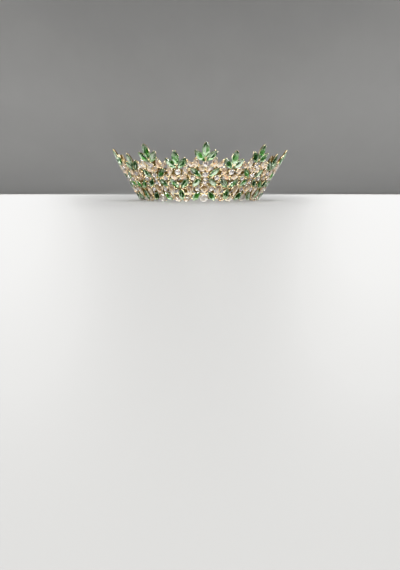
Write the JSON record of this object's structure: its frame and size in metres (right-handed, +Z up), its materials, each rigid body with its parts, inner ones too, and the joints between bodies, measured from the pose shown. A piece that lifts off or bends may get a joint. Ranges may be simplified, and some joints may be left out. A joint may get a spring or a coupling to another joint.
{
  "type": "bridal crown",
  "caption": "Full round crown: a flared openwork ring of tall and short motifs, set with leaf, pear and round cut stones and tied by a thin hoop near its foot.",
  "frame": {"origin": "centre of the ring, on the surface that its ten lowest settings stand on", "axes": "+Z up, out of the open top; the middle of the front motif faces -Y; +X to the right seen from the front"},
  "size_m": [0.1962, 0.2038, 0.0564],
  "materials": {
    "gold": "bright pale gold plate, lightly worn",
    "green_crystal": "polished cut glass, mint to emerald",
    "champagne_crystal": "polished cut glass, pale champagne",
    "clear_crystal": "polished cut glass, clear with a pearly coat"
  },
  "bodies": {
    "root": {"crown_frame": "gold", "crest_leaf_stones": "green_crystal", "star_leaf_stones": "green_crystal", "base_leaf_stones": "green_crystal", "champagne_petal_stones": "champagne_crystal", "champagne_drop_stones": "champagne_crystal", "clear_drop_stones": "clear_crystal"}
  },
  "joints": []
}
